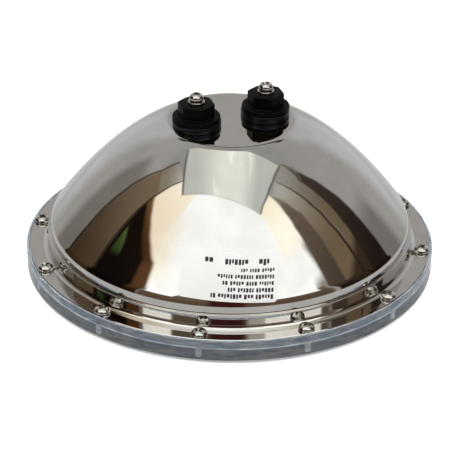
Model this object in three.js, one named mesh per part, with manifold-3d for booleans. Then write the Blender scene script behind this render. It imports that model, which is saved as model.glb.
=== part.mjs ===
// Underwater pool light in the PAR56 size, with a clear front lens, a polished steel rear shell and
// two screw terminals. Millimetres. The lamp lies on its lens: the lens's outer face is z = 0, +Z is
// the lamp's axis and points to the rear, and both terminals lie on the X axis.

import * as THREE from "three";
import { mergeVertices } from "three/addons/utils/BufferGeometryUtils.js";
import Module from "manifold-3d";

const wasm = await Module();
wasm.setup();

// ---- driving dimensions -----------------------------------------------------------------------

const RING_SEGMENTS = 48;
const LENS_SEGMENTS = 72;
const INNER_SEGMENTS = 32;
const SEAL_SEGMENTS = 24;
const ROUND_SEGMENTS = 16;
const SMALL_SEGMENTS = 12;
const HOLE_SEGMENTS = 8;
const ARC_STEPS = 4;
const REST_GAP = 0.1;
const OVERCUT = 1;
const OVERLAP = 0.5;

const LENS = {
  radius: 88.5, faceEdge: 1.2, pane: 3.6, paneRadius: 78.4, seat: 6.0, rimInner: 87.5, rimTop: 10.15,
  bossRadius: 3.2, bossTop: 8.0, bossCircle: 71.5, bossHole: 1.45, bossHoleFloor: 4.3,
};
const GASKET = { inner: 79.2, outer: 86.8, thickness: 3.1 };
const SHELL = {
  sheet: 0.8, flangeOuter: 87.2, wallOuter: 79.1, footArc: 2.3, lipArc: 0.6, lipZ: 16.5,
  bodyRadius: 78.0, shoulderArc: 7.0, shoulderStart: 76.64, apexZ: 70.33, apexOffset: 6.84,
  curvature: 0.00978, creaseEnd: 28.6, flatRadius: 25.3, flatZ: 66.35,
};
const CLAMP_SCREWS = {
  count: 12, circle: 83.95, clearance: 1.85, tipZ: 1.0, holeFloor: 0.6, turn: 0.7, seatGap: 0.22,
};
const PAN_HEAD = { headRadius: 3.4, headHeight: 2.4, shank: 1.45 };
const BOARD_HEAD = { headRadius: 2.6, headHeight: 1.9, shank: 1.2 };

const LED_BOARD = { radius: 75.5, thickness: 1.6 };
const LEDS = { size: 5.0, height: 1.6, firstRing: 6.0, ringPitch: 11.5, counts: [3, 9, 15, 21, 27, 30] };
const PAD = { radius: 67.0, thickness: 0.5 };
const HEAT_PLATE = { radius: 75.5, thickness: 3.0, wireHole: 9.0 };
const PLATE_SCREWS = { count: 4, phase: 45, clearance: 1.8, length: 8.8 };

const DRIVER = {
  radius: 33.0, thickness: 1.6, standoffHeight: 9.0, standoffCircle: 28.0, standoffFlats: 5.5,
  screwLength: 6.6,
};
const STANDOFFS = {
  count: 3, phase: 90, stud: 1.5, studHole: 1.8, hole: 1.45, holeDepth: 6.0, screwHole: 1.5,
};
const CAPACITOR = { radius: 6.25, height: 20.0, groove: 0.5, grooveZ: 2.2, places: [[-8, -12], [3, -22]] };
const INDUCTOR = { radius: 7.0, winding: 6.0, height: 9.0, flange: 1.6, place: [13, -7] };
const RECTIFIER = { size: [15.0, 5.0, 11.0], place: [-8, 8] };
const CONTROLLER = { size: [10.3, 7.5, 2.3], place: [9, 8] };

const TERMINAL = {
  offset: 15.8, flangeRadius: 10.2, flangeThickness: 2.0, sealRadius: 10.4, sealShift: 0.2,
  sealThickness: 2.6, hexFlats: 14.0, hexHeight: 5.6, hexChamfer: 0.4, hexPhase: 26,
  barrel: 4.9, barrelLength: 12.0, shellHole: 5.2, bore: 3.2,
};
const INSERT = {
  radius: 2.9, thread: 1.75, threadDepth: 11.0, recess: 0.3, tail: 2.0, stud: 1.5, studLength: 5.4,
};
const LOCK_NUT = { flats: 16.0, height: 4.0, hole: 5.2 };
const LUG = {
  radius: 3.6, hole: 1.8, thickness: 0.8, reach: 7.0, crimp: 1.5, crimpStart: 7.5, crimpLength: 5.0,
};
const LUG_NUT = { flats: 5.5, height: 2.4, hole: 1.75 };
const WASHER = { radius: 3.6, hole: 1.8, thickness: 0.8 };
const SPRING_WASHER = { radius: 2.9, hole: 1.7, thickness: 0.9, split: 0.5, splitAngle: 60 };
const TERMINAL_SCREW = { headRadius: 3.1, headHeight: 2.4, shank: 1.5, length: 9.0, turn: 0.35 };

const LABEL = { azimuth: -112, width: 40, topR: 64.5, bottomR: 77.2, lift: 0.1, thickness: 0.15 };
const WIRES = { feed: 1.0, led: 0.6, ledPitch: 3.0, sides: 6, endGap: 0.3 };

// ---- heights that follow from them --------------------------------------------------------------

const gasketZ = LENS.seat + REST_GAP;
const flangeZ = gasketZ + GASKET.thickness + REST_GAP;
const flangeTopZ = flangeZ + SHELL.sheet;
const clampHeadZ = flangeTopZ + CLAMP_SCREWS.seatGap;
const ledBoardZ = LENS.bossTop + REST_GAP;
const padZ = ledBoardZ + LED_BOARD.thickness + REST_GAP;
const plateZ = padZ + PAD.thickness + REST_GAP;
const plateTopZ = plateZ + HEAT_PLATE.thickness;
const standoffZ = plateTopZ + REST_GAP;
const driverZ = standoffZ + DRIVER.standoffHeight + REST_GAP;
const driverTopZ = driverZ + DRIVER.thickness;
const sealZ = SHELL.flatZ + REST_GAP;
const terminalZ = sealZ + TERMINAL.sealThickness + REST_GAP;
const hexTopZ = terminalZ + TERMINAL.flangeThickness + TERMINAL.hexHeight;
const insertTopZ = hexTopZ - INSERT.recess;
const shellCeilingZ = SHELL.flatZ - SHELL.sheet;
const barrelEndZ = terminalZ - TERMINAL.barrelLength;
const tailEndZ = barrelEndZ - INSERT.tail;
const lugTopZ = tailEndZ - REST_GAP;
const washerZ = hexTopZ + REST_GAP;
const springZ = washerZ + WASHER.thickness + REST_GAP;
const terminalHeadZ = springZ + SPRING_WASHER.thickness + REST_GAP;

// ---- materials ----------------------------------------------------------------------------------

const material = (color, roughness, metalness, extra = {}) =>
  new THREE.MeshStandardMaterial({ color, roughness, metalness, ...extra });

const MATERIALS = {
  clearLens: material(0xc9d3e0, 0.08, 0, { transparent: true, opacity: 0.4 }),
  silicone: material(0x7d8aa3, 0.6, 0),
  polishedSteel: material(0xb9b5ae, 0.06, 1),
  screwSteel: material(0xc8c5bf, 0.18, 1),
  blackPlastic: material(0x0d0d0e, 0.35, 0),
  rubber: material(0x23242c, 0.7, 0),
  brass: material(0xb08d4a, 0.3, 1),
  aluminium: material(0xa9abad, 0.4, 1),
  boardWhite: material(0xe9e9e4, 0.5, 0),
  thermalPad: material(0x9aa3ad, 0.8, 0),
  boardGreen: material(0x1f5c38, 0.45, 0),
  capacitorSleeve: material(0x1c2430, 0.4, 0),
  ferrite: material(0x2b2b2d, 0.6, 0),
  chipEpoxy: material(0x17181a, 0.5, 0),
  tinned: material(0xb7b9ba, 0.3, 1),
  labelWhite: material(0xe8e8e6, 0.35, 0),
  wireRed: material(0xa3201c, 0.4, 0),
  wireBlack: material(0x141414, 0.4, 0),
  wireGreen: material(0x1f7a3a, 0.4, 0),
  wireBlue: material(0x1e4ba0, 0.4, 0),
};

// ---- solid helpers ------------------------------------------------------------------------------

/** A closed three.js geometry as a solid that can be joined and cut. */
function solid(geometry) {
  const bare = new THREE.BufferGeometry();
  bare.setAttribute("position", geometry.getAttribute("position"));
  bare.setIndex(geometry.getIndex());
  const merged = mergeVertices(bare, 1e-4);
  const index = merged.getIndex().array;
  const triangles = [];
  for (let i = 0; i < index.length; i += 3) {
    const [a, b, c] = index.slice(i, i + 3);
    if (a !== b && b !== c && c !== a) triangles.push(a, b, c);
  }
  const vertProperties = Float32Array.from(merged.getAttribute("position").array);
  const triVerts = Uint32Array.from(triangles);
  return new wasm.Manifold(new wasm.Mesh({ numProp: 3, vertProperties, triVerts }));
}

/** The solid's surface as a flat-shaded three.js geometry. */
function surface(shape) {
  const mesh = shape.getMesh();
  const geometry = new THREE.BufferGeometry();
  geometry.setAttribute("position", new THREE.BufferAttribute(Float32Array.from(mesh.vertProperties), 3));
  geometry.setIndex(new THREE.BufferAttribute(Uint32Array.from(mesh.triVerts), 1));
  geometry.computeVertexNormals();
  return geometry;
}

/** A profile of [radius, height] points turned about Z, counter-clockwise with the radius to the right. */
function turned(profile, segments = SMALL_SEGMENTS) {
  const points = profile.map(([r, z]) => new THREE.Vector2(r, z));
  return solid(new THREE.LatheGeometry(points, segments).rotateX(Math.PI / 2));
}

/** A flat ring or, with no inner radius, a disc between two heights. */
function ring(inner, outer, z0, z1, segments = RING_SEGMENTS) {
  const profile = [[inner, z0], [outer, z0], [outer, z1], [inner, z1]];
  if (inner > 0) profile.push([inner, z0]);
  return turned(profile, segments);
}

const disc = (radius, z0, z1, segments = SMALL_SEGMENTS) => ring(0, radius, z0, z1, segments);

/** A tool for a plain hole between two heights, long enough to break through both of them. */
const holeTool = (radius, z0, z1) => disc(radius, z0 - OVERCUT, z1 + OVERCUT, HOLE_SEGMENTS);

/** A tool for a blind hole with its floor at z0. */
const blindTool = (radius, z0, z1, segments = HOLE_SEGMENTS) => disc(radius, z0, z1 + OVERCUT, segments);

/** A box with its base centred on the origin. */
const block = (x, y, z) => solid(new THREE.BoxGeometry(x, y, z).translate(0, 0, z / 2));

/** A hexagonal prism of the given width across its flats, one corner at `phase` degrees. */
function hexPrism(flats, height, phase = 0) {
  const shape = new THREE.Shape();
  for (let i = 0; i < 6; i++) {
    const angle = THREE.MathUtils.degToRad(phase + 60 * i);
    const corner = flats / Math.sqrt(3);
    shape[i ? "lineTo" : "moveTo"](corner * Math.cos(angle), corner * Math.sin(angle));
  }
  shape.closePath();
  return solid(new THREE.ExtrudeGeometry(shape, { depth: height, bevelEnabled: false }));
}

/** The centres of `count` places on a circle, the first at `phase` degrees from +X. */
function circlePlaces(count, radius, phase = 0) {
  return Array.from({ length: count }, (_, i) => {
    const angle = THREE.MathUtils.degToRad(phase + (360 / count) * i);
    return [radius * Math.cos(angle), radius * Math.sin(angle)];
  });
}

/** The shape with a copy of `tool` cut out at each place. */
function drilled(shape, tool, places) {
  return places.reduce((left, [x, y]) => left.subtract(tool.translate(x, y, 0)), shape);
}

/** A round tube along a smooth curve through the points. */
function wire(points, radius, steps) {
  const path = new THREE.CatmullRomCurve3(points.map((p) => new THREE.Vector3(...p)));
  const section = new THREE.Shape();
  for (let i = 0; i < WIRES.sides; i++) {
    const angle = (2 * Math.PI * i) / WIRES.sides;
    section[i ? "lineTo" : "moveTo"](radius * Math.cos(angle), radius * Math.sin(angle));
  }
  section.closePath();
  return solid(new THREE.ExtrudeGeometry(section, { steps, extrudePath: path, bevelEnabled: false }));
}

/** A pan-head screw with a cross recess. The head's underside is z = 0 and the shank points to -Z. */
function panHeadScrew({ headRadius, headHeight, shank }, length) {
  const profile = [
    [0, -length], [shank, -length], [shank, 0],
    [headRadius, 0], [headRadius, headHeight * 0.35], [headRadius * 0.72, headHeight * 0.88], [0, headHeight],
  ];
  const slot = block(headRadius * 1.1, headRadius * 0.26, headHeight).translate(0, 0, headHeight * 0.45);
  return turned(profile).subtract(slot.add(slot.rotate([0, 0, 90])));
}

// ---- the scene graph ------------------------------------------------------------------------------

const lamp = new THREE.Group();
lamp.name = "pool_light";

/** Adds one named sub-part. */
function addPart(name, shape, look, position = [0, 0, 0], angle = 0) {
  const mesh = new THREE.Mesh(surface(shape), MATERIALS[look]);
  mesh.name = name;
  mesh.position.set(...position);
  mesh.rotation.z = angle;
  lamp.add(mesh);
}

const numbered = (name, i) => `${name}_${String(i + 1).padStart(2, "0")}`;

// ---- front lens, gasket and clamp screws ----------------------------------------------------------

const screwPlaces = circlePlaces(CLAMP_SCREWS.count, CLAMP_SCREWS.circle);
const bossPlaces = circlePlaces(PLATE_SCREWS.count, LENS.bossCircle, PLATE_SCREWS.phase);

function frontLens() {
  const edge = LENS.faceEdge;
  const halfway = edge * (1 - Math.SQRT1_2);
  let dish = turned([
    [0, 0], [LENS.radius - edge, 0], [LENS.radius - halfway, halfway], [LENS.radius, edge],
    [LENS.radius, LENS.rimTop], [LENS.rimInner, LENS.rimTop], [LENS.rimInner, LENS.seat],
    [LENS.paneRadius, LENS.seat], [LENS.paneRadius, LENS.pane], [0, LENS.pane],
  ], LENS_SEGMENTS);
  for (const [x, y] of bossPlaces) {
    dish = dish.add(disc(LENS.bossRadius, LENS.pane - OVERLAP, LENS.bossTop).translate(x, y, 0));
  }
  const bossHole = blindTool(LENS.bossHole, LENS.bossHoleFloor, LENS.bossTop);
  const screwHole = blindTool(CLAMP_SCREWS.clearance, CLAMP_SCREWS.holeFloor, LENS.seat);
  return drilled(drilled(dish, bossHole, bossPlaces), screwHole, screwPlaces);
}

function lensGasket() {
  const flat = ring(GASKET.inner, GASKET.outer, gasketZ, gasketZ + GASKET.thickness);
  return drilled(flat, holeTool(CLAMP_SCREWS.clearance, gasketZ, gasketZ + GASKET.thickness), screwPlaces);
}

addPart("front_lens", frontLens(), "clearLens");
addPart("lens_gasket", lensGasket(), "silicone");

const clampScrew = panHeadScrew(PAN_HEAD, clampHeadZ - CLAMP_SCREWS.tipZ);
screwPlaces.forEach(([x, y], i) => {
  addPart(numbered("clamp_screw", i), clampScrew, "screwSteel", [x, y, clampHeadZ], CLAMP_SCREWS.turn * i);
});

// ---- rear shell -------------------------------------------------------------------------------------

/** Height of the dome's outer face at radius r: a parabola swept about Z off its own axis. */
const domeZ = (r) => SHELL.apexZ - SHELL.curvature * (r - SHELL.apexOffset) ** 2;
const domeSlope = (r) => Math.atan(2 * SHELL.curvature * (r - SHELL.apexOffset));

/** Points of the dome's outer face from the shelf up to the flat, as [radius, height, slope]. */
function domeProfile() {
  const points = [];
  const { bodyRadius, shoulderArc, shoulderStart, flatRadius, flatZ, creaseEnd } = SHELL;
  const foot = domeSlope(shoulderStart);
  const footZ = domeZ(shoulderStart) - shoulderArc * Math.cos(foot);
  for (const slope of [Math.PI / 2, (Math.PI / 2 + foot) / 2]) {
    const r = bodyRadius - shoulderArc * (1 - Math.sin(slope));
    points.push([r, footZ + shoulderArc * Math.cos(slope), slope]);
  }
  const flankSteps = 8;
  for (let i = 0; i <= flankSteps; i++) {
    const r = THREE.MathUtils.lerp(shoulderStart, creaseEnd, i / flankSteps);
    points.push([r, domeZ(r), domeSlope(r)]);
  }
  points.push([flatRadius, flatZ, 0]);
  return points;
}

/** Points on an arc in the profile plane, with angles in degrees from the outward direction. */
function arcPoints([r, z], radius, from, to, steps) {
  return Array.from({ length: steps + 1 }, (_, i) => {
    const angle = THREE.MathUtils.degToRad(THREE.MathUtils.lerp(from, to, i / steps));
    return [r + radius * Math.cos(angle), z + radius * Math.sin(angle)];
  });
}

function rearShell() {
  const { sheet, flangeOuter, wallOuter, footArc, lipArc, lipZ, bodyRadius } = SHELL;
  const dome = domeProfile();
  const footCentre = [wallOuter + footArc, flangeTopZ + footArc];
  const lipCentre = [wallOuter - lipArc, lipZ - lipArc];
  const outside = [
    [flangeOuter, flangeZ], [flangeOuter, flangeTopZ], ...arcPoints(footCentre, footArc, 270, 180, ARC_STEPS),
    ...arcPoints(lipCentre, lipArc, 0, 90, 2), [bodyRadius, lipZ],
    ...dome.map(([r, z]) => [r, z]), [0, SHELL.flatZ],
  ];
  const inside = dome.filter((_, i) => i % 2 === 0 || i === dome.length - 1)
    .map(([r, z, slope]) => [r - sheet * Math.sin(slope), z - sheet * Math.cos(slope)]).reverse();
  const shell = turned([
    [0, shellCeilingZ], ...inside, [bodyRadius - sheet, lipZ - sheet], [wallOuter - sheet, lipZ - sheet],
    ...arcPoints(footCentre, footArc + sheet, 180, 270, ARC_STEPS), ...outside,
  ], RING_SEGMENTS);
  const terminalHole = disc(TERMINAL.shellHole, shellCeilingZ - OVERCUT, SHELL.flatZ + OVERCUT, SEAL_SEGMENTS);
  const screwHole = holeTool(CLAMP_SCREWS.clearance, flangeZ, flangeTopZ);
  const terminalPlaces = [[-TERMINAL.offset, 0], [TERMINAL.offset, 0]];
  return drilled(drilled(shell, terminalHole, terminalPlaces), screwHole, screwPlaces);
}

/** A thin sticker bent onto the dome's flank, with its top edge nearer the terminals. */
function ratingLabel() {
  const columns = 12;
  const rows = 5;
  const middle = THREE.MathUtils.degToRad(LABEL.azimuth);
  const positions = [];
  for (const lift of [LABEL.lift, LABEL.lift + LABEL.thickness]) {
    for (let row = 0; row <= rows; row++) {
      const r = THREE.MathUtils.lerp(LABEL.bottomR, LABEL.topR, row / rows);
      const shoulder = r > SHELL.shoulderStart;
      const start = domeSlope(SHELL.shoulderStart);
      const slope = shoulder ? Math.asin(1 - (SHELL.bodyRadius - r) / SHELL.shoulderArc) : domeSlope(r);
      const drop = SHELL.shoulderArc * (Math.cos(start) - Math.cos(slope));
      const z = shoulder ? domeZ(SHELL.shoulderStart) - drop : domeZ(r);
      for (let column = 0; column <= columns; column++) {
        const angle = middle + LABEL.width / r * (column / columns - 0.5);
        const out = r + lift * Math.sin(slope);
        positions.push(out * Math.cos(angle), out * Math.sin(angle), z + lift * Math.cos(slope));
      }
    }
  }
  return solid(closedGrid(positions, columns, rows));
}

/** Two stacked grids of points, inner first, joined round their border into one closed surface. */
function closedGrid(positions, columns, rows) {
  const index = [];
  const at = (layer, row, column) => layer * (rows + 1) * (columns + 1) + row * (columns + 1) + column;
  const quad = (a, b, c, d) => index.push(a, b, c, a, c, d);
  for (let row = 0; row < rows; row++) {
    for (let column = 0; column < columns; column++) {
      const corners = (layer) => [
        at(layer, row, column), at(layer, row, column + 1),
        at(layer, row + 1, column + 1), at(layer, row + 1, column),
      ];
      quad(...corners(1));
      quad(...corners(0).reverse());
    }
    quad(at(0, row, columns), at(0, row + 1, columns), at(1, row + 1, columns), at(1, row, columns));
    quad(at(0, row + 1, 0), at(0, row, 0), at(1, row, 0), at(1, row + 1, 0));
  }
  for (let column = 0; column < columns; column++) {
    quad(at(0, 0, column), at(0, 0, column + 1), at(1, 0, column + 1), at(1, 0, column));
    quad(at(0, rows, column + 1), at(0, rows, column), at(1, rows, column), at(1, rows, column + 1));
  }
  const geometry = new THREE.BufferGeometry();
  geometry.setAttribute("position", new THREE.Float32BufferAttribute(positions, 3));
  geometry.setIndex(index);
  return geometry;
}

addPart("rear_shell", rearShell(), "polishedSteel");
addPart("rating_label", ratingLabel(), "labelWhite");

// ---- LED board and its heat plate -------------------------------------------------------------------

function ledBoard() {
  let board = disc(LED_BOARD.radius, ledBoardZ, ledBoardZ + LED_BOARD.thickness, RING_SEGMENTS);
  const led = block(LEDS.size, LEDS.size, LEDS.height + OVERLAP).translate(0, 0, ledBoardZ - LEDS.height);
  LEDS.counts.forEach((count, n) => {
    const radius = LEDS.firstRing + LEDS.ringPitch * n;
    circlePlaces(count, radius, 90).forEach(([x, y], i) => {
      board = board.add(led.rotate([0, 0, 90 + (360 / count) * i]).translate(x, y, 0));
    });
  });
  return drilled(board, holeTool(PLATE_SCREWS.clearance, ledBoardZ, padZ), bossPlaces);
}

function heatPlate() {
  const plate = ring(HEAT_PLATE.wireHole, HEAT_PLATE.radius, plateZ, plateTopZ, INNER_SEGMENTS);
  const drilledPlate = drilled(plate, holeTool(PLATE_SCREWS.clearance, plateZ, plateTopZ), bossPlaces);
  return drilled(drilledPlate, holeTool(STANDOFFS.studHole, plateZ, plateTopZ), standoffPlaces);
}

const standoffPlaces = circlePlaces(STANDOFFS.count, DRIVER.standoffCircle, STANDOFFS.phase);

addPart("led_board", ledBoard(), "boardWhite");
const padSolid = ring(HEAT_PLATE.wireHole, PAD.radius, padZ, padZ + PAD.thickness, INNER_SEGMENTS);
addPart("thermal_pad", padSolid, "thermalPad");
addPart("heat_plate", heatPlate(), "aluminium");

const plateScrew = panHeadScrew(BOARD_HEAD, PLATE_SCREWS.length);
bossPlaces.forEach(([x, y], i) => {
  addPart(numbered("plate_screw", i), plateScrew, "screwSteel", [x, y, plateTopZ + REST_GAP], 0.5 * i);
});

// ---- driver board and its components ------------------------------------------------------------------

function standoff() {
  const { standoffHeight, standoffFlats } = DRIVER;
  const stud = disc(STANDOFFS.stud, -HEAT_PLATE.thickness, OVERLAP);
  const hole = blindTool(STANDOFFS.hole, standoffHeight - STANDOFFS.holeDepth, standoffHeight, SMALL_SEGMENTS);
  return hexPrism(standoffFlats, standoffHeight).add(stud).subtract(hole);
}

function driverBoard() {
  const board = disc(DRIVER.radius, driverZ, driverTopZ, INNER_SEGMENTS);
  return drilled(board, holeTool(STANDOFFS.screwHole, driverZ, driverTopZ), standoffPlaces);
}

function inductor() {
  const { radius, winding, height, flange } = INDUCTOR;
  return turned([
    [0, 0], [radius, 0], [radius, flange], [winding, flange], [winding, height - flange],
    [radius, height - flange], [radius, height], [0, height],
  ], ROUND_SEGMENTS);
}

function capacitor() {
  const { radius, height, groove, grooveZ } = CAPACITOR;
  return turned([
    [0, 0], [radius, 0], [radius, grooveZ - groove], [radius - groove, grooveZ], [radius, grooveZ + groove],
    [radius, height - groove], [radius - groove, height], [0, height],
  ], ROUND_SEGMENTS);
}

const onDriver = ([x, y]) => [x, y, driverTopZ + REST_GAP];
const standoffSolid = standoff();
const driverScrew = panHeadScrew(BOARD_HEAD, DRIVER.screwLength);

addPart("driver_board", driverBoard(), "boardGreen");
standoffPlaces.forEach(([x, y], i) => {
  addPart(numbered("standoff", i), standoffSolid, "brass", [x, y, standoffZ]);
  addPart(numbered("driver_screw", i), driverScrew, "screwSteel", [x, y, driverTopZ + REST_GAP], 0.4 * i);
});
CAPACITOR.places.forEach((place, i) => {
  addPart(numbered("capacitor", i), capacitor(), "capacitorSleeve", onDriver(place));
});
addPart("inductor", inductor(), "ferrite", onDriver(INDUCTOR.place));
addPart("rectifier", block(...RECTIFIER.size), "chipEpoxy", onDriver(RECTIFIER.place));
addPart("controller_chip", block(...CONTROLLER.size), "chipEpoxy", onDriver(CONTROLLER.place));

// ---- terminals ------------------------------------------------------------------------------------------

/** Hexagon, round flange and threaded barrel, with a bore for the insert. z = 0 is under the flange. */
function terminalBody() {
  const { flangeRadius, flangeThickness, barrel, barrelLength } = TERMINAL;
  const { hexFlats, hexHeight, hexChamfer, hexPhase } = TERMINAL;
  const top = flangeThickness + hexHeight;
  const corner = hexFlats / Math.sqrt(3);
  const hex = hexPrism(hexFlats, hexHeight + OVERLAP, hexPhase).translate(0, 0, flangeThickness - OVERLAP);
  const chamfer = turned([
    [0, 0], [corner + hexChamfer, 0], [corner + hexChamfer, top - hexChamfer],
    [corner - hexChamfer, top], [0, top],
  ], SEAL_SEGMENTS);
  const flange = turned([
    [0, 0], [flangeRadius, 0], [flangeRadius, flangeThickness * 0.6],
    [flangeRadius - flangeThickness * 0.5, flangeThickness], [0, flangeThickness],
  ], SEAL_SEGMENTS);
  const stem = disc(barrel, -barrelLength, OVERLAP, SEAL_SEGMENTS);
  const bore = disc(TERMINAL.bore, -barrelLength - OVERCUT, top + OVERCUT, SEAL_SEGMENTS);
  return flange.add(hex.intersect(chamfer)).add(stem).subtract(bore);
}

/** Brass insert: threaded from the outer end, with a stud on the inner end. z = 0 is its outer end. */
function terminalInsert() {
  const shoulder = tailEndZ - insertTopZ;
  const threadFloor = -INSERT.threadDepth;
  return turned([
    [0, shoulder - INSERT.studLength], [INSERT.stud, shoulder - INSERT.studLength], [INSERT.stud, shoulder],
    [INSERT.radius, shoulder], [INSERT.radius, 0], [INSERT.thread, 0], [INSERT.thread, threadFloor],
    [0, threadFloor],
  ]);
}

const nut = (flats, height, hole, segments) =>
  hexPrism(flats, height).subtract(disc(hole, -OVERCUT, height + OVERCUT, segments));

/** Ring tongue with a crimp barrel that points along +Y. z = 0 is its underside. */
function ringLug() {
  const tongue = block(LUG.crimp * 2, LUG.reach, LUG.thickness).translate(0, (LUG.hole + LUG.reach) / 2, 0);
  const crimp = solid(new THREE.CylinderGeometry(LUG.crimp, LUG.crimp, LUG.crimpLength, SMALL_SEGMENTS))
    .translate(0, LUG.crimpStart + LUG.crimpLength / 2, 0);
  const eye = disc(LUG.radius, 0, LUG.thickness, SEAL_SEGMENTS);
  return eye.add(tongue).add(crimp).subtract(disc(LUG.hole, -OVERCUT, LUG.thickness + OVERCUT));
}

/** A split ring that keeps a screw from working loose. z = 0 is its underside. */
function springWasher() {
  const { radius, hole, thickness, split, splitAngle } = SPRING_WASHER;
  const cut = block(radius, split, thickness + 2 * OVERCUT).translate((radius + hole) / 2, 0, -OVERCUT);
  return ring(hole, radius, 0, thickness, SEAL_SEGMENTS).subtract(cut.rotate([0, 0, splitAngle]));
}

const sides = { left: -1, right: 1 };
const bodySolid = terminalBody();
const insertSolid = terminalInsert();
const lugSolid = ringLug();

for (const [side, sign] of Object.entries(sides)) {
  const x = sign * TERMINAL.offset;
  const place = (z) => [x, 0, z];
  const sealRing = ring(TERMINAL.shellHole, TERMINAL.sealRadius, 0, TERMINAL.sealThickness, SEAL_SEGMENTS);
  const lockNutZ = shellCeilingZ - REST_GAP - LOCK_NUT.height;
  const lugZ = lugTopZ - LUG.thickness;
  const lugNutZ = lugZ - REST_GAP - LUG_NUT.height;
  addPart(`terminal_seal_${side}`, sealRing, "rubber", [x - sign * TERMINAL.sealShift, 0, sealZ]);
  addPart(`terminal_body_${side}`, bodySolid, "blackPlastic", place(terminalZ));
  addPart(`terminal_insert_${side}`, insertSolid, "brass", place(insertTopZ));
  const lockNut = nut(LOCK_NUT.flats, LOCK_NUT.height, LOCK_NUT.hole, SEAL_SEGMENTS);
  addPart(`lock_nut_${side}`, lockNut, "blackPlastic", place(lockNutZ));
  addPart(`ring_lug_${side}`, lugSolid, "tinned", place(lugZ), sign > 0 ? 0 : Math.PI);
  addPart(`lug_nut_${side}`, nut(LUG_NUT.flats, LUG_NUT.height, LUG_NUT.hole), "brass", place(lugNutZ));
  addPart(`terminal_washer_${side}`, ring(WASHER.hole, WASHER.radius, 0, WASHER.thickness, SEAL_SEGMENTS),
    "screwSteel", place(washerZ));
  addPart(`spring_washer_${side}`, springWasher(), "screwSteel", place(springZ));
  addPart(`terminal_screw_${side}`, panHeadScrew(TERMINAL_SCREW, TERMINAL_SCREW.length), "screwSteel",
    place(terminalHeadZ), TERMINAL_SCREW.turn * sign);
}

// ---- wires ----------------------------------------------------------------------------------------------

const crimpEndY = LUG.crimpStart + LUG.crimpLength + WIRES.endGap;
const lugMiddleZ = lugTopZ - LUG.thickness;
const driverPadZ = driverTopZ + WIRES.endGap;

for (const [side, sign] of Object.entries(sides)) {
  const x = sign * TERMINAL.offset;
  const points = [
    [x, sign * crimpEndY, lugMiddleZ], [x, sign * (crimpEndY + 3), lugMiddleZ - 0.5],
    [x + sign * 2.5, sign * (crimpEndY + 6), lugMiddleZ - 7],
    [x + sign * 2.5, sign * (crimpEndY + 6), driverPadZ + 14],
    [x + sign * 5, sign * (crimpEndY - 1), driverPadZ + 5], [x + sign * 5, sign * (crimpEndY - 2), driverPadZ],
  ];
  addPart(`feed_wire_${side}`, wire(points, WIRES.feed, 16), sign > 0 ? "wireRed" : "wireBlack");
}

const LED_WIRES = ["Black", "Red", "Green", "Blue"];
const ledPadZ = ledBoardZ + LED_BOARD.thickness + WIRES.endGap;
LED_WIRES.forEach((colour, i) => {
  const x = WIRES.ledPitch * (i - (LED_WIRES.length - 1) / 2);
  const points = [
    [x, 5.0, driverZ - WIRES.endGap], [x, 5.2, driverZ - 2.5], [x * 0.9, 1.5, plateTopZ + 3],
    [x * 0.9, -2.5, plateTopZ - 0.5], [x * 0.9, -3.6, ledPadZ],
  ];
  addPart(`led_wire_${colour.toLowerCase()}`, wire(points, WIRES.led, 9), `wire${colour}`);
});

export default lamp;
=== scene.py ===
"""Looks of an underwater pool light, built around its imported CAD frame.

Lengths in this script are millimetres unless a name ends in _m; MM turns them into Blender's metres.
The lamp lies on its lens with its axis on Z, and its two terminals lie on the X axis.
"""
import math
import random

import bpy
from mathutils import Matrix, Vector


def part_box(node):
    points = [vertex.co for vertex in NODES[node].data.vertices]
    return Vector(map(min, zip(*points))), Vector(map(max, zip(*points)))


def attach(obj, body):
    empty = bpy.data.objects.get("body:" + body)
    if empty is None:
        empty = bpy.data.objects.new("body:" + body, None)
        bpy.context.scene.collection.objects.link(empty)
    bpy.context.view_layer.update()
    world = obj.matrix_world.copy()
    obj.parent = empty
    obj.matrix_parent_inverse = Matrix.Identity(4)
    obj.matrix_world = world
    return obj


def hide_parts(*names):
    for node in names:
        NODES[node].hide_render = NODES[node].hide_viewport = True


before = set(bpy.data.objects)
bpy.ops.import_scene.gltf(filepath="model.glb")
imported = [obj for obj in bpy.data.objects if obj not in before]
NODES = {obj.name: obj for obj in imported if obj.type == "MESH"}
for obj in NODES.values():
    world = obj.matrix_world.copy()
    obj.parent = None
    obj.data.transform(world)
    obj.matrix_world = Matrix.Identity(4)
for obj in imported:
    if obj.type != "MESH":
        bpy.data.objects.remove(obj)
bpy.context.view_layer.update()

MM = 0.001
LAMP = "lamp"


def node_box(name):
    """Lowest and highest corner of a CAD node in millimetres."""
    low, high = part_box(name)
    return low / MM, high / MM


def node_centre(name):
    low, high = node_box(name)
    return (low + high) / 2


def names_with(prefix):
    return sorted(name for name in NODES if name.startswith(prefix))


LENS_HIGH = node_box("front_lens")[1]
SHELL_LOW, SHELL_HIGH = node_box("rear_shell")

# ---- camera ---------------------------------------------------------------------------------------

LABEL_AZIMUTH = math.radians(-112)
CAMERA = {"distance": 861.1, "elevation": math.radians(29.23), "roll": math.radians(0.64), "lens": 156.2}
CAMERA_AIM = {"left": 2.06, "up": 15.4}


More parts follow.
